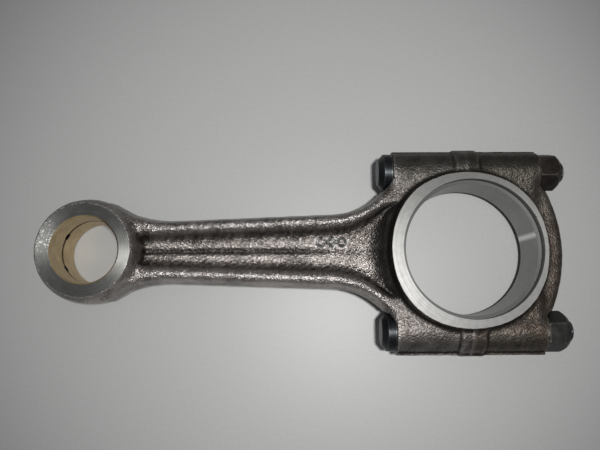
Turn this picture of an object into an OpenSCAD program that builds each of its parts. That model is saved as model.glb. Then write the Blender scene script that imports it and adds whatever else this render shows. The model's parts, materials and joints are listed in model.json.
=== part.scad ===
// Forged connecting rod with its bolted cap, bearing shells and small-end bush.
// Origin: on the crankpin axis, half-way across the width.
// +Z runs along both bores, -X points to the piston-pin end, +X points to the cap.

/* [Main sizes] */
// Distance between the crankpin axis and the piston-pin axis
centre_distance = 158; // [120:1:220]
// Width across the machined thrust faces of the big end
big_w = 27; // [20:0.5:40]
// Width across the machined faces of the small end
small_w = 28; // [20:0.5:40]
// Thickness of the I-section flanges, across the rod
flange_w = 19; // [12:0.5:30]
// Thickness of the web between the flanges
web_w = 6; // [3:0.5:12]

/* [Big end] */
// Diameter of the housing bore that holds the bearing shells
housing_d = 57.5; // [45:0.5:75]
// Chamfer at the mouth of the housing bore
housing_chamfer = 0.35; // [0.1:0.05:1]
// Diameter of the machined thrust face
thrust_face_d = 64.4; // [60:0.2:80]
// Shift of the thrust face towards the shank, as forged
thrust_shift = 1.2; // [0:0.1:2]
// Diameter of the forged ring at its root, below the thrust face
ring_root_d = 68; // [60:0.5:84]
// Half-height of the ring's straight root band
ring_root_h = 4; // [1:0.5:8]

/* [Bolt bosses] */
// Distance between the two bolt axes
bolt_pitch = 68; // [60:1:90]
// Diameter of the barrel round each bolt
boss_d = 17.2; // [14:0.2:24]
// Diameter of the raised pad at the joint face
pad_d = 18.8; // [14:0.2:26]
// Length of the raised pad on each side of the joint face
pad_len = 5; // [2:0.5:10]
// Overall width across the flash strips outside the bosses
flash_span = 87.4; // [80:0.2:110]
// Thickness of the flash strips
flash_t = 4.4; // [1:0.2:8]
// Distance from the joint face to the bolt head seat
head_seat_x = 31; // [20:0.5:45]
// Distance from the joint face to the nut seat
nut_seat_x = 31; // [20:0.5:45]
// Thickness of the shoulder between the ring and the bosses
shoulder_w = 15; // [8:0.5:24]

/* [Cap strap] */
// Radius of the strap's outer back
strap_r = 60; // [45:0.5:90]
// Distance from the joint face to the crown of the strap
strap_x = 40.8; // [34:0.2:60]
// Thickness of the strap across the cap
strap_w = 12.5; // [6:0.5:24]
// Half-length of the strap's back between the nut seats
strap_y = 27; // [15:0.5:40]

/* [Bearing shells] */
// Wall thickness of a bearing shell
shell_wall = 1.5; // [1:0.1:3]
// Length of the bearing shells along the crankpin
shell_w = 19.6; // [12:0.2:30]

/* [Small end] */
// Bore of the bush, for the piston pin
pin_bore_d = 27; // [18:0.5:40]
// Outside diameter of the bush
bush_d = 30; // [20:0.5:46]
// Chamfer at each end of the bush bore
bush_chamfer = 0.6; // [0.2:0.1:1.5]
// Distance from the small-end face down to the bush's end
bush_recess = 0.2; // [0:0.1:2]
// Width of the oil groove round the bush bore
groove_w = 2.2; // [1:0.1:5]
// Depth of the oil groove
groove_depth = 0.6; // [0.2:0.1:1]
// Diameter of the machined small-end face
eye_face_d = 38; // [30:0.5:60]
// Largest diameter of the forged eye, at mid-width
eye_d = 43.6; // [34:0.2:66]
// Shift of the forged eye away from the shank
eye_shift = 0.4; // [0:0.1:2]
// Diameter of the two oil drillings
oil_hole_d = 3; // [1.5:0.1:5]
// Angle of each oil drilling from the rod's axis, at the crown
oil_hole_angle = 30; // [0:1:60]

/* [Shank] */
// Half-height of the shank at its narrow end
neck_half = 13.3; // [8:0.1:24]
// Distance from the pin axis to the narrow end of the shank
neck_from_pin = 34; // [20:0.5:60]
// Half-height of the shank where the flare begins
waist_half = 15.9; // [10:0.1:28]
// Distance from the crankpin axis to the start of the flare
waist_x = 58; // [45:0.5:80]
// Radius of the flare up to the bolt bosses
flare_r = 30.4; // [15:0.2:60]
// Half-height of the pocket at its narrow end
pocket_neck_half = 7.4; // [3:0.1:14]
// Half-height of the pocket where its flare begins
pocket_waist_half = 9.7; // [4:0.1:18]
// Radius of the pocket's flare beside the big end
pocket_flare_r = 44; // [20:0.5:80]
// Half-height of the pocket at its widest, beside the big end
pocket_corner_half = 20; // [10:0.5:30]

/* [Bolts and nuts] */
// Diameter of the bolt shank
bolt_d = 10; // [6:0.5:14]
// Radial clearance between a bolt and its holes
bolt_clearance = 0.05; // [0.02:0.01:0.2]
// Diameter of the bolt head
head_d = 16; // [12:0.5:24]
// Height of the bolt head's straight rim
head_rim_h = 3.8; // [2:0.1:8]
// Height of the bolt head's cone
head_cone_h = 3.4; // [1:0.1:6]
// Diameter of the bolt head's end
head_end_d = 10.8; // [6:0.2:16]
// Width across the flats of the nut
nut_af = 15; // [12:0.5:22]
// Height of the nut
nut_h = 9.6; // [6:0.2:16]
// Height of the cone that rounds the nut's outer corners
nut_cone_h = 2.6; // [0.5:0.1:5]
// Diameter of the nut's outer face
nut_end_d = 12.6; // [11:0.1:20]
// Length of bolt that stands out of the nut
bolt_stickout = 2; // [0.4:0.2:6]
// Chamfer on the bolt's point
bolt_chamfer = 1; // [0.2:0.1:3]
// Angle of the nut on the +Y side about its bolt
nut_left_angle = 12; // [-30:1:30]
// Angle of the nut on the -Y side about its bolt
nut_right_angle = 4; // [-30:1:30]

/* [Forging mark] */
// Height of the plain raised mark on the web
mark_h = 0.6; // [0.2:0.1:1.5]
// Size of each shape in the mark
mark_size = 3.6; // [2:0.1:8]
// Distance from the crankpin axis to the middle of the mark
mark_x = 57.5; // [45:0.5:120]
// Distance of the mark from the rod's centre line
mark_y = 3.6; // [-6:0.1:6]

/* [Hidden] */
$fn = 96;
eps = 0.01;
fit_gap = 0.01;
far = 200;
boss_y = bolt_pitch / 2;
bolt_hole_r = bolt_d / 2 + bolt_clearance;
shell_out_r = housing_d / 2 - fit_gap;
shell_in_r = housing_d / 2 - shell_wall;
neck_x = centre_distance - neck_from_pin;
eye_r = eye_d / 2;
neck_run = neck_from_pin + eye_shift;
// radius tangent to both the shank's edge and the eye
neck_r = (neck_run * neck_run / (eye_r - neck_half) - eye_r - neck_half) / 2;
neck_touch = eye_r / (eye_r + neck_r);
pocket_flare_x = waist_x + 4;
eye_lip_h = 2;
eye_lip_r = 20.4;
spot_gap = 0.8;
nut_spot_gap = 0.7;
flash_pad = 0.5;
steel_dark = [0.27, 0.24, 0.22];
steel_cap = [0.30, 0.25, 0.22];
bronze = [0.72, 0.60, 0.44];
shell_grey = [0.55, 0.55, 0.54];
bolt_black = [0.10, 0.10, 0.11];
nut_black = [0.17, 0.15, 0.15];

// Lay a shape drawn along Z so that it runs along +X, at one bolt axis
module on_bolt(side, x = 0) translate([x, side * boss_y, 0]) rotate([0, 90, 0]) children();

// Everything on the cap's side of the joint face
module cap_side() translate([0, -far / 2, -far / 2]) cube(far);
// Everything on the rod's side of the joint face
module rod_side() translate([-far, -far / 2, -far / 2]) cube(far);

// The forged ring, thickest at its root and tapering to both thrust faces
module ring_blank() {
    h = big_w / 2;
    root = ring_root_d / 2;
    face = thrust_face_d / 2;
    translate([-thrust_shift, 0, 0])
        rotate_extrude()
            polygon([[0, -h], [face, -h], [root, -ring_root_h],
                     [root, ring_root_h], [face, h], [0, h]]);
}

// The housing bore with a chamfer at each mouth
module housing_bore() {
    h = big_w / 2;
    r = housing_d / 2;
    c = housing_chamfer;
    rotate_extrude()
        polygon([[0, -h - eps], [r + c + eps, -h - eps], [r, -h + c],
                 [r, h - c], [r + c + eps, h + eps], [0, h + eps]]);
}

// One boss: barrel, raised joint pad and the outer flash strip, from the joint to the seat
module boss(side, len) {
    on_bolt(side) cylinder(d = boss_d, h = len);
    on_bolt(side) cylinder(d = pad_d, h = pad_len);
    strip = flash_span / 2 - boss_y;
    translate([0, side > 0 ? boss_y : -boss_y - strip, -flash_t / 2])
        cube([len, strip, flash_t]);
    translate([0, side > 0 ? boss_y : -boss_y - strip - flash_pad, -flash_t / 2])
        cube([pad_len, strip + flash_pad, flash_t]);
}

// The shank's outline between the eye and the bosses
module shank_outline() {
    polygon([[-neck_x, -neck_half], [-waist_x, -waist_half], [-waist_x, waist_half],
             [-neck_x, neck_half]]);
    // flare up to the bosses
    difference() {
        translate([-waist_x, -boss_y]) square([waist_x, bolt_pitch]);
        for (s = [-1, 1])
            translate([-waist_x, s * (waist_half + flare_r)]) circle(flare_r);
        for (s = [-1, 1])
            translate([-waist_x - eps, s > 0 ? waist_half + flare_r : -far])
                square([waist_x, far - waist_half - flare_r]);
    }
    // fillets up to the eye
    fillet_half = neck_touch * (neck_half + neck_r);
    fillet_len = neck_run * (1 - neck_touch);
    difference() {
        translate([-neck_x - fillet_len, -fillet_half])
            square([fillet_len + eps, 2 * fillet_half]);
        for (s = [-1, 1])
            translate([-neck_x, s * (neck_half + neck_r)]) circle(neck_r);
    }
}

// The pocket that leaves the web, on one face of the shank
module pocket_outline() {
    translate([-neck_x, 0]) circle(pocket_neck_half);
    polygon([[-neck_x, -pocket_neck_half], [-pocket_flare_x, -pocket_waist_half],
             [-pocket_flare_x, pocket_waist_half], [-neck_x, pocket_neck_half]]);
    difference() {
        translate([-pocket_flare_x - eps, -pocket_corner_half])
            square([pocket_flare_x - ring_root_d / 2 + 8, 2 * pocket_corner_half]);
        for (s = [-1, 1])
            translate([-pocket_flare_x, s * (pocket_waist_half + pocket_flare_r)])
                circle(pocket_flare_r);
    }
}

module shank() {
    depth = (flange_w - web_w) / 2;
    difference() {
        linear_extrude(flange_w, center = true) shank_outline();
        for (s = [0, 1])
            mirror([0, 0, s]) translate([0, 0, web_w / 2])
                linear_extrude(depth + eps) pocket_outline();
    }
}

// The forged eye of the small end, fullest at mid-width
module eye_blank() {
    h = small_w / 2;
    lip = h - eye_lip_h;
    translate([-centre_distance - eye_shift, 0, 0])
        rotate_extrude()
            polygon([[0, -h], [eye_face_d / 2, -h], [eye_lip_r, -lip], [eye_d / 2, 0],
                     [eye_lip_r, lip], [eye_face_d / 2, h], [0, h]]);
}

// Two drillings that let oil into the small end at the crown
module oil_holes() {
    for (s = [-1, 1])
        translate([-centre_distance, 0, 0])
            rotate([0, 0, 180 + s * oil_hole_angle])
                rotate([0, 90, 0]) cylinder(d = oil_hole_d, h = eye_d, $fn = 32);
}

// Plain raised shapes left by the forging die: a diamond between two studs
module forging_mark() {
    pitch = mark_size * 1.35;
    translate([-mark_x, mark_y, web_w / 2 - eps]) {
        rotate([0, 0, 45]) translate([-mark_size / 2, -mark_size / 2, 0])
            scale(0.8) translate([mark_size / 8, mark_size / 8, 0])
                cube([mark_size, mark_size, (mark_h + eps) / 0.8]);
        for (s = [-1, 1])
            translate([s * pitch, 0, 0]) cylinder(d = mark_size * 0.8, h = mark_h + eps, $fn = 32);
    }
}

module rod() color(steel_dark) {
    shoulder_y = pocket_corner_half;
    difference() {
        union() {
            shank();
            eye_blank();
            ring_blank();
            for (s = [-1, 1]) mirror([1, 0, 0]) boss(s, head_seat_x);
            for (s = [-1, 1])
                translate([-head_seat_x, s > 0 ? shoulder_y : -boss_y, -shoulder_w / 2])
                    cube([head_seat_x, boss_y - shoulder_y, shoulder_w]);
        }
        cap_side();
        housing_bore();
        translate([-centre_distance, 0, 0])
            cylinder(r = bush_d / 2 + fit_gap, h = small_w + 1, center = true);
        oil_holes();
        for (s = [-1, 1]) {
            on_bolt(s, -head_seat_x - 1) cylinder(r = bolt_hole_r, h = head_seat_x + 2, $fn = 64);
            on_bolt(s, -head_seat_x - far / 4)
                cylinder(r = head_d / 2 + spot_gap, h = far / 4);
        }
    }
    forging_mark();
}

module cap() color(steel_cap) {
    difference() {
        union() {
            ring_blank();
            for (s = [-1, 1]) boss(s, nut_seat_x);
            translate([0, -boss_y, -shoulder_w / 2])
                cube([nut_seat_x - spot_gap, bolt_pitch, shoulder_w]);
            intersection() {
                translate([strap_x - strap_r, 0, -strap_w / 2])
                    cylinder(r = strap_r, h = strap_w);
                translate([0, -strap_y, -strap_w / 2])
                    cube([strap_x, 2 * strap_y, strap_w]);
            }
        }
        rod_side();
        housing_bore();
        for (s = [-1, 1]) {
            on_bolt(s, -1) cylinder(r = bolt_hole_r, h = nut_seat_x + 2, $fn = 64);
            on_bolt(s, nut_seat_x)
                cylinder(r = nut_af / sqrt(3) + nut_spot_gap, h = far / 4);
        }
    }
}

module bush() color(bronze) {
    r = pin_bore_d / 2;
    h = small_w / 2 - bush_recess;
    c = bush_chamfer;
    g = groove_w / 2;
    difference() {
        translate([-centre_distance, 0, 0])
            rotate_extrude()
                polygon([[r + c, -h], [bush_d / 2, -h], [bush_d / 2, h], [r + c, h],
                         [r, h - c], [r, g], [r + groove_depth, g],
                         [r + groove_depth, -g], [r, -g], [r, -h + c]]);
        oil_holes();
    }
}

// A half shell on one side of the joint face
module half_shell() {
    difference() {
        cylinder(r = shell_out_r, h = shell_w, center = true);
        cylinder(r = shell_in_r, h = shell_w + 1, center = true);
        rod_side();
    }
}

module shell_cap_side() color(shell_grey) half_shell();
module shell_rod_side() color(shell_grey) mirror([1, 0, 0]) half_shell();

// Bolt with a plain round head; the shank is drawn as a smooth cylinder
module rod_bolt(side) color(bolt_black) {
    len = head_seat_x + nut_seat_x + nut_h + bolt_stickout;
    on_bolt(side, -head_seat_x) {
        cylinder(d = bolt_d, h = len - bolt_chamfer, $fn = 64);
        translate([0, 0, len - bolt_chamfer])
            cylinder(d1 = bolt_d, d2 = bolt_d - 2 * bolt_chamfer, h = bolt_chamfer, $fn = 64);
        translate([0, 0, -head_rim_h]) cylinder(d = head_d, h = head_rim_h);
        translate([0, 0, -head_rim_h - head_cone_h])
            cylinder(d1 = head_end_d, d2 = head_d, h = head_cone_h);
    }
}
module bolt_left() rod_bolt(1);
module bolt_right() rod_bolt(-1);

// Hexagon nut with its outer corners coned off
module rod_nut(side, angle) color(nut_black) {
    corner = nut_af / sqrt(3);
    end_r = nut_end_d / 2;
    cone_slope = (corner - end_r) / nut_cone_h;
    on_bolt(side, nut_seat_x) rotate([0, 0, angle])
        difference() {
            intersection() {
                cylinder(r = corner, h = nut_h, $fn = 6);
                cylinder(r1 = end_r + cone_slope * nut_h, r2 = end_r, h = nut_h);
            }
            translate([0, 0, -1]) cylinder(r = bolt_hole_r, h = nut_h + 2, $fn = 64);
        }
}
module nut_left() rod_nut(1, 90 + nut_left_angle);
module nut_right() rod_nut(-1, 90 + nut_right_angle);

rod();
cap();
bush();
shell_rod_side();
shell_cap_side();
bolt_left();
bolt_right();
nut_left();
nut_right();
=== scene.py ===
import json
import math

import bpy
import numpy as np
from mathutils import Matrix, Vector


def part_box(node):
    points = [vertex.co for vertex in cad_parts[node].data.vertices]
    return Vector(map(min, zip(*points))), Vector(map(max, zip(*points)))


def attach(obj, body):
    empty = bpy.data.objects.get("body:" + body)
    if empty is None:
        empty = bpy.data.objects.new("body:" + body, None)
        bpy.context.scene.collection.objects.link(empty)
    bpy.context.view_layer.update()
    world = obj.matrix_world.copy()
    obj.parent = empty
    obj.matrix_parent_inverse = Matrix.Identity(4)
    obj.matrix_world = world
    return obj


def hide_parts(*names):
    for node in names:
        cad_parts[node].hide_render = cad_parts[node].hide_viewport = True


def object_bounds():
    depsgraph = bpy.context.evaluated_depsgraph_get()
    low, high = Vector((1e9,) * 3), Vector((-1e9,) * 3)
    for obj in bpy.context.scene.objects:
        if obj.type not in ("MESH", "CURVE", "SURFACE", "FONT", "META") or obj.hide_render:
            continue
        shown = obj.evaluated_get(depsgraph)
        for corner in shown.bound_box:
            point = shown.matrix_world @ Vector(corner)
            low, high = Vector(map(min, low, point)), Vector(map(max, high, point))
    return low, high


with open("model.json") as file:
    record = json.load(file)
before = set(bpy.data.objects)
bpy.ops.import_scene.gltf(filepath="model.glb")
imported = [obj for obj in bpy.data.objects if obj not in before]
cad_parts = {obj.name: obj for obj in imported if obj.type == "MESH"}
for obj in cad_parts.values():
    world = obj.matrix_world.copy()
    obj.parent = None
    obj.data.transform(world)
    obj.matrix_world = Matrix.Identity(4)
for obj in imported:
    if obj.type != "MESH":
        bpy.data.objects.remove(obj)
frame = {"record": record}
CAD_LO, CAD_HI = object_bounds()

# ---------------------------------------------------------------- sizes, mm, in the row frame
MM = 0.001
MOUNTS = {m["name"]: m for m in frame["record"]["mounts"]}


def box_mm(node):
    lo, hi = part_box(node)
    return np.array(lo) / MM, np.array(hi) / MM


ROD_LO, ROD_HI = box_mm("rod")
CAP_LO, CAP_HI = box_mm("cap")
BUSH_LO, BUSH_HI = box_mm("bush")
SHELL_HI = box_mm("shell_cap_side")[1]
BOLT_LO, BOLT_HI = box_mm("bolt_left")
NUT_LO, NUT_HI = box_mm("nut_left")

PIN_X = MOUNTS["piston_pin_bore"]["pos_m"][0] / MM
PIN_R = MOUNTS["piston_pin_bore"]["dims"]["r_mm"]
CRANK_R = MOUNTS["crankpin_bore"]["dims"]["r_mm"]
BIG_H = CAP_HI[2]
SMALL_H = ROD_HI[2]
HOUSING_R = SHELL_HI[1] + 0.01
EYE_BORE_R = (BUSH_HI[0] - BUSH_LO[0]) / 2 + 0.01
BOLT_Y = (BOLT_LO[1] + BOLT_HI[1]) / 2
HEAD_END_X = BOLT_LO[0]
HEAD_R = (BOLT_HI[1] - BOLT_LO[1]) / 2
BOLT_END_X = BOLT_HI[0]
NUT_SEAT_X = NUT_LO[0]
NUT_H = NUT_HI[0] - NUT_LO[0]
# The heads stop short of the CAD's, which are too long
HEAD_SEAT_X, HEAD_TIP_X = HEAD_END_X + 7.2, HEAD_END_X + 1.1
FLASH_Y = ROD_HI[1]

BOLT_R, BOLT_HOLE_R = 5.0, 5.05
THREAD_X, THREAD_PITCH, THREAD_DEPTH = 22.0, 1.25, 0.62
HEAD_TIP_R, NUT_FLAT, NUT_TIP_R, NUT_FOOT_R = 5.4, 7.5, 6.3, 8.1
HEAD_POCKET_R, NUT_POCKET_R = 8.8, 9.3

NECK_X, NECK_HALF = PIN_X + 34.0, 13.3
WAIST_X, WAIST_HALF, FLARE_R = -58.0, 15.9, 30.4
EYE_X, EYE_MID_R, EYE_FACE_R = PIN_X - 0.4, 21.72, 19.0
NECK_RUN = NECK_X - EYE_X
NECK_R = (NECK_RUN**2 / (EYE_MID_R - NECK_HALF) - EYE_MID_R - NECK_HALF) / 2
TANGENT_X = EYE_X + EYE_MID_R * NECK_RUN / (EYE_MID_R + NECK_R)
FLANGE_H, WEB_H = 9.4, 2.9
DRAFT_OUT, DRAFT_IN = 0.2, 0.34

POCKET_START_X = EYE_X + EYE_MID_R - 4
POCKET_NECK_HALF, POCKET_WAIST_HALF = 5.4, 7.6
POCKET_FLARE_X, POCKET_FLARE_R, POCKET_MAX_HALF = WAIST_X - 2, 38.0, 17.6
VALLEY_DEPTH, VALLEY_HALF = 0.9, 1.35

RING_X, RING_Y, RING_FACE_R = -1.5, -0.4, 32.2
RING_DRAFT, RING_UNEVEN = 0.22, 0.35
BARREL_R, PAD_R, PAD_LEN = 8.5, 9.3, 5.0
FLASH_TRIM_LEFT, FLASH_TRIM_RIGHT, FLASH_HALF = 1.3, 0.6, 2.1
SHOULDER_H = 7.4
STRAP_X, STRAP_R, STRAP_H = CAP_HI[0] - 0.15, 60.0, 6.2
OIL_R, OIL_ANGLE = 1.5, math.radians(30)
# The bearing shells' painted reflection, a bright streak, stands at this angle round the bore
PAINTED_STREAK_ANGLE = math.radians(12.5)
MARK_X, MARK_Y, MARK_SIZE, MARK_DEPTH = -57.5, 3.8, 4.4, 0.55
SKIN_UNEVEN = 0.09

# Painted light: how much lighter than the bosses the shank is made, on its -Y and +Y side
NEAR_GAIN, FAR_GAIN = 2.3, 1.4

JOINT_GAP = 0.004

STEP = 0.5


# ---------------------------------------------------------------- distance fields
def smin(a, b, k):
    h = np.clip(0.5 + 0.5 * (b - a) / k, 0, 1)
    return b + (a - b) * h - k * h * (1 - h)


def smax(a, b, k):
    return -smin(-a, -b, k)


def smooth_step(t):
    t = np.clip(t, 0, 1)
    return t * t * (3 - 2 * t)


def hyp(a, b):
    return np.sqrt(a * a + b * b)


def waves(x, y, z):
    """Slow unevenness of a forged surface, about 1 unit high."""
    a = np.sin(0.61 * x + 1.7 * np.sin(0.37 * y + 0.5) + 0.4 * z)
    b = np.sin(0.83 * y + 1.3 * np.sin(0.29 * x) - 0.5 * z + 1.0)
    c = np.sin(1.9 * x - 1.1 * y + 1.2 * np.sin(0.7 * z + 0.3 * x))
    return 0.45 * a * b + 0.3 * c * b + 0.25 * a


def shank(x, y, z):
    """The solid the pockets are cut from: a taper that flares out to the bosses."""
    ay, az = np.abs(y), np.abs(z)
    slope = (WAIST_HALF - NECK_HALF) / (WAIST_X - NECK_X)
    line = ay - (NECK_HALF + slope * (x - NECK_X))
    flare = FLARE_R - hyp(x - WAIST_X, ay - WAIST_HALF - FLARE_R)
    neck = NECK_R - hyp(x - NECK_X, ay - NECK_HALF - NECK_R)
    side = np.where(x > WAIST_X, flare, np.where(x < NECK_X, neck, line))
    top = FLANGE_H - 2.0 * smooth_step((x + 45) / 14)
    body = smax(side + DRAFT_OUT * az, az - top, 2.6)
    body = smax(body, ay - BOLT_Y + 2.5, 2.0)
    return np.maximum(body, np.maximum(TANGENT_X - x, x + 8))


def pocket(x, y, z):
    """The hollow on each side of the web, with a shallow valley along its middle."""
    ay, az = np.abs(y), np.abs(z)
    slope = (POCKET_WAIST_HALF - POCKET_NECK_HALF) / (POCKET_FLARE_X - NECK_X)
    line = ay - (POCKET_NECK_HALF + slope * (x - NECK_X))
    flare_y = POCKET_WAIST_HALF + POCKET_FLARE_R
    flare = POCKET_FLARE_R - hyp(x - POCKET_FLARE_X, ay - flare_y)
    side = np.where(x > POCKET_FLARE_X, flare, line)
    side = smax(side, ay - POCKET_MAX_HALF, 4.0)
    fade = 1 - 0.7 * smooth_step((x + 75) / 30)
    valley = VALLEY_DEPTH * fade * np.exp(-((y / VALLEY_HALF) ** 2))
    cut = smax(side - DRAFT_IN * (az - WEB_H), WEB_H - valley - az, 3.0)
    return smax(cut, POCKET_START_X - x, 3.0)


def eye(x, y, z):
    """The small end, barrel shaped between its two faces."""
    u = np.clip(np.abs(z) / SMALL_H, 0, 1.2)
    return hyp(x - EYE_X, y) - (EYE_FACE_R + (EYE_MID_R - EYE_FACE_R) * (1 - u**4))


def ring(x, y, z):
    """The big end's thrust ring, not quite round and widening below its faces."""
    ax, ay = x - RING_X, y - RING_Y
    turn = np.arctan2(ay, ax)
    face = RING_FACE_R + RING_UNEVEN * np.cos(4 * (turn - math.pi / 4))
    return (hyp(ax, ay) - face - RING_DRAFT * (BIG_H - np.abs(z))) * 0.97


def bosses(x, y, z, end):
    """The barrels round the bolts, their raised middle pads and the trimmed edge outside."""
    ay, az = np.abs(y), np.abs(z)
    radial = hyp(ay - BOLT_Y, z)
    reach = np.where(y > 0, FLASH_Y - FLASH_TRIM_LEFT, FLASH_Y - FLASH_TRIM_RIGHT)
    strip = np.maximum(smax(ay - reach, az - FLASH_HALF, 0.6), BOLT_Y - ay)
    barrel = smin(radial - BARREL_R, strip, 0.8)
    strip = np.maximum(smax(ay - reach - 0.35, az - FLASH_HALF, 0.6), BOLT_Y - ay)
    pad = smax(smin(radial - PAD_R, strip, 0.8), np.abs(x) - PAD_LEN, 0.8)
    return np.maximum(smin(barrel, pad, 1.0), np.abs(x) - end)


def rod_forging(x, y, z):
    """The rod as forged, before any machining."""
    ay, az = np.abs(y), np.abs(z)
    body = smax(shank(x, y, z), -pocket(x, y, z), 2.4)
    body = smin(body, eye(x, y, z), 3.2)
    shoulder = smax(smax(ay - BOLT_Y, 21.0 - ay, 2.0), az - SHOULDER_H, 2.0)
    shoulder = smax(shoulder, HEAD_SEAT_X - x, 3.0)
    lugs = smin(bosses(x, y, z, -HEAD_SEAT_X), shoulder, 2.5)
    body = smin(body, lugs, 3.0)
    hollow = smooth_step((21 - ay) / 8) * smooth_step((11 - az) / 4)
    body = smin(body, ring(x, y, z), 1.4 + 8.5 * hollow)
    return body + SKIN_UNEVEN * waves(x, y, z)


def mark(x, y, z):
    """The sunk outlines of a diamond and two rings that touch it, on the web's upper side."""
    u, v = x - MARK_X, y - MARK_Y
    diamond = np.abs((np.abs(u) + np.abs(v)) * 0.707 - MARK_SIZE * 0.3) - 0.45
    studs = np.abs(hyp(np.abs(u) - MARK_SIZE, v) - MARK_SIZE * 0.36) - 0.45
    return smax(np.minimum(diamond, studs), np.abs(z - WEB_H) - MARK_DEPTH, 0.2)


def within(keep, value):
    """A cut that only counts in one part of the rod."""
    return np.where(keep, value, -9.0)


def rod_cuts(x, y, z):
    """The rod's machined faces, bores, bolt holes, head seats and oil drillings."""
    big, small, az = x > WAIST_X, x < NECK_X, np.abs(z)
    cuts = [np.where(big, az - BIG_H, az - SMALL_H)]
    cuts.append(within(big, HOUSING_R - hyp(x, y)))
    cuts.append(within(small, EYE_BORE_R - hyp(x - PIN_X, y)))
    radial = hyp(np.abs(y) - BOLT_Y, z)
    cuts.append(within(big, BOLT_HOLE_R - radial))
    cuts.append(within(big, -np.maximum(x - HEAD_SEAT_X, radial - HEAD_POCKET_R)))
    cuts.append(-oil_drilling(x, y, z))
    cuts.append(x + JOINT_GAP)
    return cuts


def oil_drilling(x, y, z):
    u, v = x - PIN_X, np.abs(y)
    along = -u * math.cos(OIL_ANGLE) + v * math.sin(OIL_ANGLE)
    off = u * math.sin(OIL_ANGLE) + v * math.cos(OIL_ANGLE)
    return np.maximum(hyp(off, z) - OIL_R, 8 - along)


def rod_parts(x, y, z):
    return [smax(rod_forging(x, y, z), -mark(x, y, z), 0.25)] + rod_cuts(x, y, z)


def strap(x, y, z):
    """The rib round the back of the cap."""
    ay, az = np.abs(y), np.abs(z)
    back = hyp(x - (STRAP_X - STRAP_R), y) - STRAP_R + 0.22 * az
    rib = smax(back, az - STRAP_H, 3.0)
    return smax(rib, ay - 26.5, 2.0)


def cap_forging(x, y, z):
    """The cap as forged, before any machining."""
    ay, az = np.abs(y), np.abs(z)
    shoulder = smax(smax(ay - BOLT_Y, 19 - ay, 3.0), az - SHOULDER_H, 2.5)
    shoulder = smax(shoulder, x - NUT_SEAT_X + 1.5, 4.0)
    lugs = smin(bosses(x, y, z, NUT_SEAT_X), shoulder, 2.5)
    body = smin(lugs, strap(x, y, z), 2.6)
    body = smin(body, ring(x, y, z), 2.2)
    return body + SKIN_UNEVEN * waves(x + 3, y + 5, z)


def cap_parts(x, y, z):
    radial = hyp(np.abs(y) - BOLT_Y, z)
    cuts = [np.abs(z) - BIG_H, HOUSING_R - hyp(x, y)]
    cuts += [BOLT_HOLE_R - radial, -np.maximum(NUT_SEAT_X - x, radial - NUT_POCKET_R)]
    cuts.append(JOINT_GAP - x)
    return [cap_forging(x, y, z)] + cuts


# ---------------------------------------------------------------- meshing
NUDGE, EDGE_SIZE = 0.04, 1.1


def surface_net(values, lo, step):
    """Points, in mm, and quads of the zero level of a grid of distances."""
    inside = values < 0
    n = np.array(values.shape) - 1
    count = np.zeros(n, np.int8)
    for c in np.ndindex(2, 2, 2):
        count += inside[c[0]:c[0] + n[0], c[1]:c[1] + n[1], c[2]:c[2] + n[2]]
    cells = np.argwhere((count > 0) & (count < 8))
    index = np.full(n, -1, np.int64)
    index[tuple(cells.T)] = np.arange(len(cells))
    total = np.zeros((len(cells), 3))
    hits = np.zeros(len(cells))
    corners = list(np.ndindex(2, 2, 2))
    for a in corners:
        for axis in range(3):
            if a[axis]:
                continue
            b = list(a)
            b[axis] = 1
            va = values[tuple((cells + a).T)]
            vb = values[tuple((cells + b).T)]
            cross = (va < 0) != (vb < 0)
            t = np.where(cross, va / np.where(cross, va - vb, 1), 0)
            p = np.array(a, float)[None] + t[:, None] * np.eye(3)[axis][None]
            total += np.where(cross[:, None], p, 0)
            hits += cross
    points = lo + (cells + total / hits[:, None]) * step
    quads = []
    for axis in range(3):
        u, v = (axis + 1) % 3, (axis + 2) % 3
        low = [slice(None)] * 3
        high = [slice(None)] * 3
        low[axis], high[axis] = slice(0, -1), slice(1, None)
        change = inside[tuple(low)] != inside[tuple(high)]
        edges = np.argwhere(change)
        keep = (edges[:, u] > 0) & (edges[:, v] > 0) & (edges[:, u] < n[u]) & (edges[:, v] < n[v])
        edges = edges[keep]
        out = inside[tuple(edges.T)]
        ring_of = []
        for du, dv in ((1, 1), (0, 1), (0, 0), (1, 0)):
            c = edges.copy()
            c[:, u] -= du
            c[:, v] -= dv
            ring_of.append(index[tuple(c.T)])
        q = np.stack(ring_of, 1)
        q[~out] = q[~out][:, ::-1]
        quads.append(q)
    return points, np.concatenate(quads), lo + (cells + 0.5) * step


def whole(parts):
    """The field of a shape given as a base and its cuts."""
    return lambda x, y, z: np.maximum.reduce(parts(x, y, z))


def gradient(field, p, e=NUDGE):
    g = np.empty(p.shape)
    for i in range(3):
        d = np.zeros(3)
        d[i] = e
        g[:, i] = (field(*(p + d).T) - field(*(p - d).T)) / (2 * e)
    return g


def curvature(field, p, e):
    """Above zero on edges that stick out, below zero in hollows."""
    total = -6 * field(*p.T)
    for i in range(3):
        for s in (-e, e):
            d = np.zeros(3)
            d[i] = s
            total = total + field(*(p + d).T)
    return total / (e * e)


def to_surface(field, points, step):
    """Moves points straight onto the zero level."""
    for _ in range(3):
        f, g = field(*points.T), gradient(field, points)
        size = np.maximum((g * g).sum(1), 0.25)
        points = points - np.clip(f / size, -0.4 * step, 0.4 * step)[:, None] * g
    return points


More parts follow.
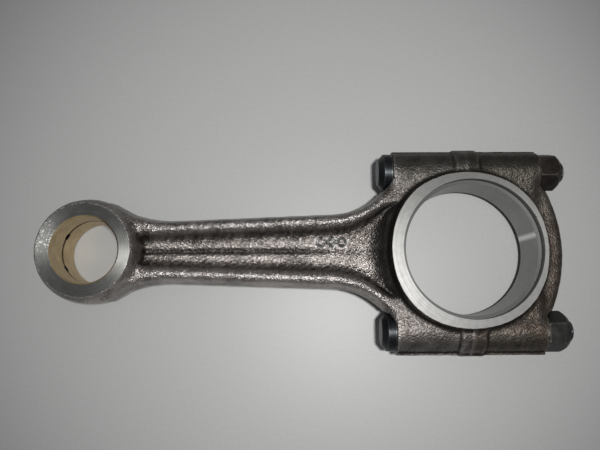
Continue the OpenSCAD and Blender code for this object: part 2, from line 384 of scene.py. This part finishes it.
def to_edges(parts, points, centers, step, ways):
    """Moves a point that shares its cell with a sharp edge or corner onto it."""
    values = np.array(parts(*points.T))
    if len(values) < ways:
        return points
    order = np.argsort(-values, axis=0)[:ways]
    near = np.take_along_axis(values, order, 0)[-1] > -0.9 * step
    ids = np.nonzero(near)[0]
    if not len(ids):
        return points
    p, pick = points[ids].copy(), order[:, ids]
    rows = np.arange(len(ids))
    for _ in range(5):
        v = np.array(parts(*p.T))[pick, rows]
        jac = np.empty((len(ids), ways, 3))
        for i in range(3):
            d = np.zeros(3)
            d[i] = NUDGE
            a, b = np.array(parts(*(p + d).T)), np.array(parts(*(p - d).T))
            jac[:, :, i] = ((a - b)[pick, rows] / (2 * NUDGE)).T
        gram = jac @ jac.transpose(0, 2, 1) + 0.004 * np.eye(ways)
        move = jac.transpose(0, 2, 1) @ np.linalg.solve(gram, v.T[:, :, None])
        p -= np.clip(move[:, :, 0], -step, step)
    v = np.array(parts(*p.T))
    unit = jac / np.maximum(np.linalg.norm(jac, axis=2, keepdims=True), 1e-6)
    sharp = np.abs(np.linalg.det(unit @ unit.transpose(0, 2, 1))) > 0.12
    ok = sharp & (np.abs(v[pick, rows]).max(0) < 0.03) & (v.max(0) < 0.03)
    ok &= np.abs(p - centers[ids]).max(1) < 0.55 * step
    points = points.copy()
    points[ids[ok]] = p[ok]
    return points


def solid(name, body, parts, lo, hi, step, replaces, raw=None):
    """A mesh of a distance field, riding on a body. raw is the shape before machining."""
    field = whole(parts)
    lo = np.array(lo, float) - 2.37 * step
    hi = np.array(hi, float) + 2.37 * step
    axes = [np.arange(lo[i], hi[i] + step, step, dtype=np.float32) for i in range(3)]
    x, y, z = np.meshgrid(*axes, indexing="ij")
    points, quads, centers = surface_net(field(x, y, z), lo, step)
    points = to_surface(field, points, step)
    for ways in (2, 3):
        points = to_edges(parts, points, centers, step, ways)
    mesh = bpy.data.meshes.new(name)
    mesh.vertices.add(len(points))
    mesh.vertices.foreach_set("co", (points * MM).astype(np.float32).ravel())
    mesh.loops.add(quads.size)
    mesh.loops.foreach_set("vertex_index", quads.astype(np.int32).ravel())
    mesh.polygons.add(len(quads))
    mesh.polygons.foreach_set("loop_start", np.arange(0, quads.size, 4, dtype=np.int32))
    mesh.update(calc_edges=True)
    mesh.validate()
    mesh.shade_smooth()
    mesh.set_sharp_from_angle(angle=math.radians(32))
    add_layer(mesh, "edge", np.clip(curvature(field, points, EDGE_SIZE), -2, 2))
    if raw is not None:
        add_layer(mesh, "cut", np.clip(-raw(*points.T), -1, 3))
    obj = bpy.data.objects.new(name, mesh)
    bpy.context.scene.collection.objects.link(obj)
    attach(obj, body)
    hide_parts(replaces)
    return obj


def add_layer(mesh, name, values):
    """Gives each vertex a value that the material can read."""
    layer = mesh.attributes.new(name, "FLOAT", "POINT")
    layer.data.foreach_set("value", values.astype(np.float32))


# ---------------------------------------------------------------- node helpers
class Nodes:
    """A small builder for one material's node tree."""

    def __init__(self, name):
        self.mat = bpy.data.materials.new(name)
        self.mat.use_nodes = True
        self.tree = self.mat.node_tree
        self.tree.nodes.clear()
        self.out = self.tree.nodes.new("ShaderNodeOutputMaterial")
        coord = self.tree.nodes.new("ShaderNodeTexCoord")
        scale = self.tree.nodes.new("ShaderNodeVectorMath")
        scale.operation = "SCALE"
        scale.inputs["Scale"].default_value = 1 / MM
        self.link(coord.outputs["Object"], scale.inputs[0])
        self.pos = scale.outputs[0]
        split = self.tree.nodes.new("ShaderNodeSeparateXYZ")
        self.link(self.pos, split.inputs[0])
        self.x, self.y, self.z = split.outputs

    def link(self, a, b):
        self.tree.links.new(a, b)

    def put(self, value, socket):
        if isinstance(value, bpy.types.NodeSocket):
            self.link(value, socket)
        else:
            socket.default_value = value

    def math(self, op, a, b=None, c=None, clamp=False):
        n = self.tree.nodes.new("ShaderNodeMath")
        n.operation = op
        n.use_clamp = clamp
        for i, v in enumerate((a, b, c)):
            if v is not None:
                self.put(v, n.inputs[i])
        return n.outputs[0]

    def times(self, a, b):
        return self.math("MULTIPLY", a, b)

    def size(self, a):
        return self.math("ABSOLUTE", a)

    def ramp(self, value, lo, hi):
        """0 at lo, 1 at hi, smooth between; lo may be the larger."""
        n = self.tree.nodes.new("ShaderNodeMapRange")
        n.clamp = True
        n.interpolation_type = "SMOOTHSTEP"
        self.put(value, n.inputs["Value"])
        n.inputs["From Min"].default_value = lo
        n.inputs["From Max"].default_value = hi
        return n.outputs["Result"]

    def span(self, value, lo, hi):
        """lo where the value is 0, hi where it is 1."""
        n = self.tree.nodes.new("ShaderNodeMapRange")
        n.clamp = True
        self.put(value, n.inputs["Value"])
        n.inputs["To Min"].default_value = lo
        n.inputs["To Max"].default_value = hi
        return n.outputs["Result"]

    def mix(self, f, a, b):
        n = self.tree.nodes.new("ShaderNodeMix")
        n.data_type = "RGBA"
        n.clamp_factor = True
        self.put(f, n.inputs[0])
        for v, s in ((a, n.inputs[6]), (b, n.inputs[7])):
            self.put((*v, 1.0) if isinstance(v, tuple) else v, s)
        return n.outputs[2]

    def noise(self, size, detail=3.0, rough=0.55, vec=None, distortion=0.0):
        n = self.tree.nodes.new("ShaderNodeTexNoise")
        self.link(vec or self.pos, n.inputs["Vector"])
        n.inputs["Scale"].default_value = 1 / size
        n.inputs["Detail"].default_value = detail
        n.inputs["Roughness"].default_value = rough
        n.inputs["Distortion"].default_value = distortion
        return n.outputs[0]

    def cells(self, size, vec=None):
        n = self.tree.nodes.new("ShaderNodeTexVoronoi")
        n.feature = "SMOOTH_F1"
        n.inputs["Smoothness"].default_value = 0.6
        self.link(vec or self.pos, n.inputs["Vector"])
        n.inputs["Scale"].default_value = 1 / size
        return n.outputs["Distance"]

    def vector(self, x, y, z):
        n = self.tree.nodes.new("ShaderNodeCombineXYZ")
        for v, s in zip((x, y, z), n.inputs):
            self.put(v, s)
        return n.outputs[0]

    def radius(self, cx, cy=0.0):
        dx, dy = self.math("SUBTRACT", self.x, cx), self.math("SUBTRACT", self.y, cy)
        return self.hyp(dx, dy)

    def hyp(self, a, b):
        return self.math("SQRT", self.math("ADD", self.times(a, a), self.times(b, b)))

    def attribute(self, name):
        n = self.tree.nodes.new("ShaderNodeAttribute")
        n.attribute_name = name
        return n.outputs["Fac"]

    def bump(self, height, distance, strength=1.0, normal=None):
        n = self.tree.nodes.new("ShaderNodeBump")
        self.put(strength, n.inputs["Strength"])
        n.inputs["Distance"].default_value = distance * MM
        self.link(height, n.inputs["Height"])
        if normal is not None:
            self.link(normal, n.inputs["Normal"])
        return n.outputs[0]

    def radial(self, cx):
        """The direction away from the bore's axis, across turning marks that run round it."""
        n = self.tree.nodes.new("ShaderNodeVectorMath")
        n.operation = "NORMALIZE"
        self.link(self.vector(self.math("SUBTRACT", self.x, cx), self.y, 0.0), n.inputs[0])
        return n.outputs[0]

    def shader(self, color, rough, metal, normal=None, tangent=None, anisotropic=0.0):
        n = self.tree.nodes.new("ShaderNodeBsdfPrincipled")
        for v, s in ((color, "Base Color"), (rough, "Roughness"), (metal, "Metallic")):
            self.put((*v, 1.0) if isinstance(v, tuple) else v, n.inputs[s])
        if normal is not None:
            self.link(normal, n.inputs["Normal"])
        if tangent is not None:
            self.link(tangent, n.inputs["Tangent"])
        n.inputs["Anisotropic"].default_value = anisotropic
        return n.outputs[0]

    def blend(self, f, a, b):
        n = self.tree.nodes.new("ShaderNodeMixShader")
        self.put(f, n.inputs[0])
        self.link(a, n.inputs[1])
        self.link(b, n.inputs[2])
        return n.outputs[0]

    def done(self, shader):
        self.link(shader, self.out.inputs["Surface"])
        return self.mat


# ---------------------------------------------------------------- materials
RUST, HOLLOW_TONE = (0.070, 0.046, 0.034), (0.030, 0.027, 0.024)
# The hole and groove tones are painted shade: near-black in the bush's oil holes, dark in its
# groove
HOLE_SHADE, GROOVE_SHADE = (0.012, 0.010, 0.008), (0.045, 0.035, 0.025)

# Painted light: these four copy how dark the photograph is at one place on the part.
# They aren't known features of its surface, and don't change with the lamp or the view.
LEFT_BOSS_TONE, VALLEY_TONE = (0.036, 0.037, 0.030), (0.040, 0.037, 0.035)
FOOT_TONE, RIM_TONE = (0.026, 0.024, 0.022), (0.035, 0.022, 0.012)


def forged_steel(name, rust_amount, tint):
    """As-forged steel, shot-blasted and handled, with its machined faces ground bright.

    tint: the skin's dark tone, its light tone, and the tone of its worn edges.
    The shank's gains, and the left boss, valley and foot tones, are painted light;
    the worn edges on the shank's crests are wear and a painted highlight.
    """
    m = Nodes(name)
    edge, cut = m.attribute("edge"), m.attribute("cut")
    ay, az = m.size(m.y), m.size(m.z)
    pebble = m.cells(0.85)
    grit = m.noise(0.6, 4, 0.65)
    broad = m.noise(9.0, 4, 0.6)
    patch = m.noise(22.0, 3, 0.6, distortion=0.4)

    # The big end is duller and smoother than the shank, which is painted lighter
    calm = m.ramp(m.x, -44.0, -26.0)
    far = m.ramp(m.y, -9.0, 15.0)
    painted_lit_tints = [m.mix(far, tuple(NEAR_GAIN * c for c in t), tuple(FAR_GAIN * c for c in t))
            for t in tint[:2]]
    shade = m.math("ADD", m.times(grit, 0.55), m.times(broad, 0.45))
    color = m.mix(m.ramp(shade, 0.38, 0.60), m.mix(calm, painted_lit_tints[0], tint[0]),
                  m.mix(calm, painted_lit_tints[1], tint[1]))

    # Worn edges, rust, and a darker tone in the hollows
    # On the shank's crests the worn edges are stronger: wear, and a painted highlight
    worn = m.times(m.ramp(edge, 0.10, 0.55), m.ramp(m.noise(3.0, 3), 0.3, 0.6))
    color = m.mix(m.times(worn, m.span(calm, 0.85, 0.4)), color, tint[2])
    rust = m.times(m.ramp(patch, 0.46, 0.62), m.ramp(m.noise(2.2, 4), 0.35, 0.6))
    color = m.mix(m.times(rust, rust_amount), color, RUST)
    hollow = m.ramp(m.times(edge, -1.0), 0.03, 0.42)
    color = m.mix(m.times(hollow, 0.8), color, HOLLOW_TONE)

    # Painted light: dark on the left boss, in the web's valley, and round the ring's foot
    boss_shade = m.times(m.ramp(m.y, 24.0, 33.0), calm)
    color = m.mix(m.times(boss_shade, 0.6), color, LEFT_BOSS_TONE)
    valley = m.times(m.ramp(ay, 2.3, 0.3), m.ramp(m.x, -55.0, -80.0))
    valley = m.times(valley, m.ramp(az, WEB_H + 1.6, WEB_H + 0.6))
    color = m.mix(m.times(valley, 0.7), color, VALLEY_TONE)
    foot = m.times(m.ramp(m.radius(RING_X, RING_Y), 43.0, 36.5), m.ramp(m.x, -20.0, -28.0))
    foot = m.times(foot, m.ramp(ay, 25.0, 17.0))
    color = m.mix(m.times(foot, 0.8), color, FOOT_TONE)

    rough = m.math("ADD", m.span(m.ramp(grit, 0.3, 0.7), 0.36, 0.25), m.times(calm, 0.15))
    height = m.math("ADD", pebble, m.times(grit, 0.8))
    normal = m.bump(height, 0.30, m.span(calm, 1.0, 0.55))
    skin = m.shader(color, rough, 0.85, normal)
    ground = m.blend(m.ramp(m.x, PIN_X + 40, PIN_X + 60), turned_face(m), ground_face(m))
    return m.done(m.blend(m.ramp(cut, 0.04, 0.10), skin, ground))


def ground_face(m):
    """The big end's ground faces and bore, with fine marks round the axis.

    They get darker toward +Y, which is painted light.
    """
    r = m.radius(0.0)
    along = m.vector(m.times(r, 4.0), m.times(m.x, 0.08), m.z)
    lines = m.noise(1.0, 2, 0.7, vec=along)
    spots = m.noise(2.6, 3, 0.6)
    color = m.mix(m.ramp(spots, 0.3, 0.7), (0.215, 0.215, 0.21), (0.25, 0.25, 0.245))
    deep = m.ramp(m.size(m.z), BIG_H - 0.3, BIG_H - 0.6)
    color = m.mix(m.times(deep, 0.2), color, (0.10, 0.105, 0.11))
    color = m.mix(m.times(m.ramp(m.y, 4.0, 32.0), 0.5), color, (0.08, 0.08, 0.076))
    rough = m.span(m.ramp(lines, 0.3, 0.7), 0.46, 0.52)
    return m.shader(color, rough, 1.0, m.bump(lines, 0.006), m.radial(0.0), anisotropic=0.35)


def turned_face(m):
    """The small end's faces, turned on a lathe: rings round the pin bore, with nicks.

    The nicks sit where the photograph has bright marks: scratches, painted bright as a highlight
    as well. The nicks sit where the photograph has bright marks, which may be scratches or
    glints.
    """
    r = m.radius(PIN_X)
    rings = m.noise(1.0, 2, 0.7, vec=m.vector(m.times(r, 3.2), 0.0, 0.0))
    stain = m.noise(4.0, 4, 0.65)
    color = m.mix(m.ramp(stain, 0.3, 0.7), (0.27, 0.27, 0.25), (0.37, 0.37, 0.355))
    dark = m.mix(m.ramp(rings, 0.35, 0.7), color, (0.17, 0.17, 0.165))
    deep = m.ramp(m.size(m.z), SMALL_H - 1.2, SMALL_H - 2.0)
    # Painted highlight: nicks at the face's far left, scratches painted as bright as their glint
    nicks = m.ramp(m.noise(0.8, 5, 0.7), 0.56, 0.62)
    where = m.times(m.ramp(m.x, PIN_X - 11, PIN_X - 15),
                   m.ramp(m.size(m.math("SUBTRACT", m.y, 7.0)), 10.0, 4.0))
    nicks = m.times(nicks, where)
    color = m.mix(nicks, dark, (1.0, 1.0, 0.98))
    # Painted shade: near-black on cut surfaces deeper than about 2 mm below the face, as inside
    # the drilling
    color = m.mix(deep, color, (0.012, 0.011, 0.010))
    rough = m.span(nicks, 0.45, 0.55)
    return m.shader(color, rough, 1.0, m.bump(rings, 0.02), m.radial(PIN_X), anisotropic=0.7)


def bronze():
    """Bored bronze: dark in its groove and oil holes, its ends turned with the steel faces.

    The dark in its groove and oil holes, and the dark crescent at its rim, are painted shade.
    """
    m = Nodes("bronze_bush")
    r, az = m.radius(PIN_X), m.size(m.z)
    around = m.vector(m.times(m.z, 2.4), m.times(r, 2.0), 0.0)
    turn = m.noise(1.0, 3, 0.6, vec=around)
    stain = m.noise(5.0, 4, 0.6)
    color = m.mix(m.ramp(stain, 0.3, 0.7), (0.49, 0.365, 0.19), (0.62, 0.49, 0.285))
    color = m.mix(m.times(m.ramp(turn, 0.4, 0.75), 0.35), color, (0.25, 0.19, 0.13))
    # Painted shade: dark in the groove
    groove = m.times(m.ramp(r, PIN_R + 0.06, PIN_R + 0.2), m.ramp(az, 1.5, 1.2))
    color = m.mix(m.times(groove, 0.9), color, GROOVE_SHADE)
    # Painted shade: near-black inside the oil holes
    side = m.math("SUBTRACT", m.x, PIN_X)
    off = m.math("ADD", m.times(side, math.sin(OIL_ANGLE)),
                 m.times(m.size(m.y), math.cos(OIL_ANGLE)))
    off = m.hyp(off, m.z)
    hole = m.times(m.ramp(off, OIL_R + 0.35, OIL_R + 0.15), m.ramp(side, 0.0, -4.0))
    color = m.mix(hole, color, HOLE_SHADE)
    rim = m.times(m.ramp(az, BUSH_HI[2] - 0.8, BUSH_HI[2] - 0.55),
                 m.ramp(side, 2.0, 8.0))
    rim = m.times(rim, m.ramp(m.y, -9.0, -1.0))
    color = m.mix(m.times(rim, 0.9), color, RIM_TONE)
    wall = m.shader(color, m.span(turn, 0.34, 0.5), m.span(rim, 0.75, 0.1), m.bump(turn, 0.02))
    end = m.ramp(az, BUSH_HI[2] - 0.06, BUSH_HI[2] - 0.03)
    return m.done(m.blend(end, wall, turned_face(m)))


def shell_metal(name, tone):
    """A satin lining with dull ends.

    Its bright streak is a painted reflection, and its darker +Y side is painted light.
    """
    m = Nodes(name)
    turn = m.noise(1.0, 3, 0.6, vec=m.vector(m.times(m.z, 3.0), 0.0, m.radius(0.0)))
    smear = m.noise(7.0, 3, 0.5)
    color = m.mix(m.ramp(smear, 0.3, 0.7), tone, tuple(1.15 * c for c in tone))
    end = m.ramp(m.size(m.z), SHELL_HI[2] - 0.12, SHELL_HI[2] - 0.05)
    color = m.mix(m.times(m.ramp(m.y, 12.0, 28.0), 0.4), color, (0.09, 0.09, 0.085))
    color = m.mix(end, color, (0.13, 0.13, 0.13))
    # Painted reflection: a bright streak down the bore wall at one angle
    turned = m.size(m.math("SUBTRACT", m.math("ARCTAN2", m.y, m.x), PAINTED_STREAK_ANGLE))
    streak = m.times(m.ramp(turned, 0.07, 0.0), m.math("SUBTRACT", 1.0, end))
    color = m.mix(m.times(streak, 0.85), color, (0.85, 0.86, 0.84))
    along = m.vector(0.0, 0.0, 1.0)
    rough = m.math("ADD", m.span(turn, 0.24, 0.32), m.times(end, 0.3))
    return m.done(m.shader(color, rough, m.span(end, 1.0, 0.5), m.bump(turn, 0.006),
                           along, anisotropic=0.8))


def black_oxide(name, tone, worn_tone, rough):
    """The bolts' and nuts' dark finish, worn through on the edges."""
    m = Nodes(name)
    edge = m.attribute("edge")
    grit = m.noise(0.7, 4, 0.6)
    broad = m.noise(4.0, 4, 0.6)
    color = m.mix(m.ramp(broad, 0.35, 0.7), tone, tuple(1.9 * c for c in tone))
    worn = m.times(m.ramp(edge, 0.35, 1.2), m.ramp(grit, 0.35, 0.6))
    color = m.mix(m.times(worn, 0.7), color, worn_tone)
    return m.done(m.shader(color, m.span(broad, rough, rough + 0.14), 0.8, m.bump(grit, 0.03)))


def table_top():
    m = Nodes("pale_floor")
    fine = m.noise(1.4, 3, 0.6)
    color = m.mix(m.ramp(fine, 0.2, 0.8), (0.47, 0.475, 0.47), (0.50, 0.505, 0.50))
    return m.done(m.shader(color, 0.42, 0.0))


# ---------------------------------------------------------------- pieces
def build_rod():
    obj = solid("rod_forging", "rod_body", rod_parts, ROD_LO, ROD_HI, STEP,
                raw=rod_forging, replaces="rod")
    tint = ((0.060, 0.054, 0.050), (0.200, 0.182, 0.172), (0.46, 0.44, 0.43))
    obj.data.materials.append(forged_steel("forged_steel", 0.25, tint))


def build_cap():
    obj = solid("cap_forging", "cap_body", cap_parts, CAP_LO, CAP_HI, STEP,
                raw=cap_forging, replaces="cap")
    tint = ((0.048, 0.042, 0.036), (0.150, 0.130, 0.112), (0.34, 0.31, 0.28))
    obj.data.materials.append(forged_steel("forged_cap", 0.6, tint))


def bush_parts(x, y, z):
    r, az = hyp(x - PIN_X, y), np.abs(z)
    chamfer = (PIN_R + 0.6 - (BUSH_HI[2] - az) - r) * 0.7071
    groove = np.minimum(PIN_R + 0.6 - r, 1.1 - az)
    return [r - (EYE_BORE_R - 0.01), az - BUSH_HI[2], PIN_R - r, chamfer, groove,
            -oil_drilling(x, y, z)]


def build_bush():
    obj = solid("small_end_bush", "rod_body", bush_parts, BUSH_LO, BUSH_HI,
                0.3, replaces="bush")
    obj.data.materials.append(bronze())


def shell_parts(x, y, z):
    r = hyp(x, y)
    return [r - (HOUSING_R - 0.01), np.abs(z) - SHELL_HI[2], CRANK_R - r, JOINT_GAP - x]


def build_shells():
    step = 0.4
    for node, body, side, slot, tone in (
        ("shell_cap_side", "cap_body", 1, "bearing_shell_lower", (0.215, 0.218, 0.212)),
        ("shell_rod_side", "rod_body", -1, "bearing_shell_upper", (0.20, 0.20, 0.19)),
    ):
        lo, hi = box_mm(node)
        obj = solid(node + "_lining", body, lambda x, y, z: shell_parts(side * x, y, z),
                    lo, hi, step, replaces=node)
        obj.data.materials.append(shell_metal(node + "_metal", tone))


def bolt_parts(x, y, z):
    r = hyp(y - BOLT_Y, z)
    head = smax(r - HEAD_R, x - HEAD_SEAT_X, 0.3)
    cone = (r - HEAD_TIP_R - (x - HEAD_TIP_X) * 1.13) * 0.66
    head = smax(smax(head, cone, 0.15), HEAD_TIP_X - x, 0.2)
    phase = (x / THREAD_PITCH - np.arctan2(z, y - BOLT_Y) / (2 * math.pi)) % 1.0
    thread = np.where(x > THREAD_X, THREAD_DEPTH * np.abs(phase * 2 - 1), 0.0)
    stem = smax(r - BOLT_R + thread, x - BOLT_END_X, 0.3)
    stem = np.maximum(stem, (r - BOLT_R + 1.1 - (BOLT_END_X - x)) * 0.707)
    return [np.minimum(head, np.maximum(stem, HEAD_TIP_X + 1 - x))]


def build_bolts():
    step = 0.3
    for name, side in (("left", 1), ("right", -1)):
        node = "bolt_" + name
        lo, hi = box_mm(node)
        obj = solid(node + "_steel", "rod_body", lambda x, y, z: bolt_parts(x, side * y, z),
                    lo, hi, step, replaces=node)
        obj.data.materials.append(
            black_oxide(node + "_oxide", (0.016, 0.018, 0.020), (0.16, 0.16, 0.16), 0.30))


def nut_parts(x, y, z, turn):
    u, v = y - BOLT_Y, z
    flats = []
    for k in range(3):
        a = turn + k * math.pi / 3
        flats.append(np.abs(u * math.sin(a) + v * math.cos(a)) - NUT_FLAT)
    hexagon = smax(smax(flats[0], flats[1], 0.3), flats[2], 0.3)
    r, top = hyp(u, v), NUT_SEAT_X + NUT_H
    dome = (r - NUT_TIP_R - (top - x) * 0.91) * 0.74
    foot = (r - NUT_FOOT_R - (x - NUT_SEAT_X) * 1.2) * 0.64
    return [smax(smax(hexagon, dome, 0.25), x - top, 0.3), foot,
            NUT_SEAT_X + 0.02 - x, BOLT_HOLE_R - r]


def build_nuts():
    step = 0.25
    looks = (
        ("left", 1, math.radians(12), (0.030, 0.025, 0.022), (0.17, 0.14, 0.12)),
        ("right", -1, math.radians(4), (0.022, 0.022, 0.021), (0.15, 0.145, 0.14)),
    )
    for name, side, turn, tone, worn in looks:
        node = "nut_" + name
        lo, hi = box_mm(node)
        obj = solid(node + "_hex", node + "_body",
                    lambda x, y, z: nut_parts(x, side * y, z, turn), lo, hi, step,
                    replaces=node)
        obj.data.materials.append(black_oxide(node + "_oxide", tone, worn, 0.36))


# ---------------------------------------------------------------- stage
CAMERA_AT = Vector((-73.0, -22.6, 258.0)) * MM
CAMERA_TILT, CAMERA_PAN, CAMERA_ROLL = (math.radians(a) for a in (7.5258, -0.4886, -0.2948))
FOCAL_MM, SENSOR_MM = 36.42, 36.0
LAMP_AT = Vector((-15, -21, 506)) * MM
LAMP_AIM = Vector((-62.6, 14.1, -14)) * MM
LAMP_RADIUS, LAMP_CONE, LAMP_ENERGY = 0.022, math.radians(50.4), 7.8
LAMP_COLOR = (1.0, 0.99, 0.975)
ROOM_COLOR, ROOM_STRENGTH = (0.95, 0.97, 1.0, 1), 0.15
FLOOR_HALF = 3.0


def place_camera():
    rot = camera_axes()
    cam = bpy.data.objects.new("camera", bpy.data.cameras.new("camera"))
    cam.data.lens = FOCAL_MM
    cam.data.sensor_width = SENSOR_MM
    cam.data.clip_start, cam.data.clip_end = 0.01, 20
    cam.matrix_world = Matrix.Translation(CAMERA_AT) @ rot.to_4x4()
    bpy.context.scene.collection.objects.link(cam)
    bpy.context.scene.camera = cam


def camera_axes():
    """Looks down and a little towards +Y, with a small turn about its own axis."""
    return (Matrix.Rotation(CAMERA_ROLL, 3, "Z") @ Matrix.Rotation(CAMERA_PAN, 3, "Y")
            @ Matrix.Rotation(CAMERA_TILT, 3, "X"))


def key_light():
    """A small, fairly hard lamp high over the part, near the camera, with a soft-edged cone."""
    data = bpy.data.lights.new("key", "SPOT")
    data.shadow_soft_size = LAMP_RADIUS
    data.spot_size, data.spot_blend = LAMP_CONE, 1.0
    data.energy = LAMP_ENERGY
    data.color = LAMP_COLOR
    obj = bpy.data.objects.new("key", data)
    obj.location = LAMP_AT
    obj.rotation_euler = (LAMP_AIM - LAMP_AT).to_track_quat("-Z", "Y").to_euler()
    bpy.context.scene.collection.objects.link(obj)


def build_stage():
    z, h = CAD_LO[2], FLOOR_HALF
    mesh = bpy.data.meshes.new("floor")
    mesh.from_pydata([(-h, -h, z), (h, -h, z), (h, h, z), (-h, h, z)], [], [(0, 1, 2, 3)])
    floor = bpy.data.objects.new("floor", mesh)
    mesh.materials.append(table_top())
    bpy.context.scene.collection.objects.link(floor)
    world = bpy.data.worlds.new("room")
    world.use_nodes = True
    back = world.node_tree.nodes["Background"]
    back.inputs["Color"].default_value = ROOM_COLOR
    back.inputs["Strength"].default_value = ROOM_STRENGTH
    bpy.context.scene.world = world
    key_light()
    bpy.context.scene.view_settings.view_transform = "Standard"


build_rod()
build_cap()
build_bush()
build_shells()
build_bolts()
build_nuts()
build_stage()
place_camera()
